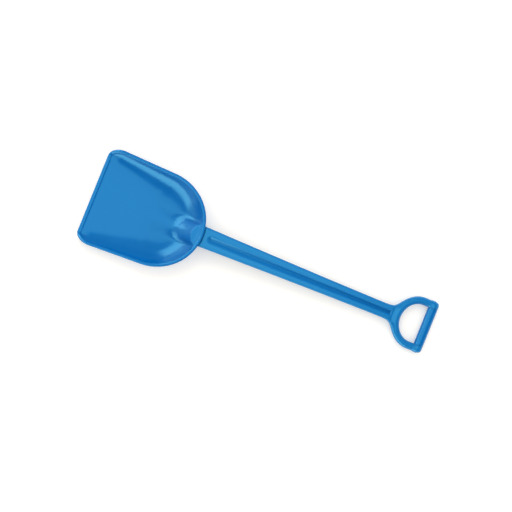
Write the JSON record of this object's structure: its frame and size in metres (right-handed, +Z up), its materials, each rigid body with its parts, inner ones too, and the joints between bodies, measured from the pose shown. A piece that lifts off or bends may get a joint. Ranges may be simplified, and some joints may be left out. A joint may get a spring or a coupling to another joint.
{
  "type": "sand shovel",
  "caption": "Child's blue plastic sand shovel: a round-backed scoop blade on a long grooved shaft with a D-shaped grip, for digging and carrying sand.",
  "frame": {"origin": "on the table under the middle of the shovel's box, with the shovel lying on the blade's heel and the grip bar", "axes": "+X from the blade's front lip to the grip, +Y across the blade, +Z up out of the open side of the blade"},
  "size_m": [0.55, 0.1524, 0.038],
  "materials": {
    "blade_plastic": "satin injection-moulded polypropylene, bright blue",
    "handle_plastic": "satin injection-moulded polypropylene, bright blue",
    "bar_plastic": "satin injection-moulded polypropylene, bright blue"
  },
  "bodies": {
    "root": {"blade": "blade_plastic", "handle": "handle_plastic", "grip_bar": "bar_plastic"}
  },
  "joints": []
}
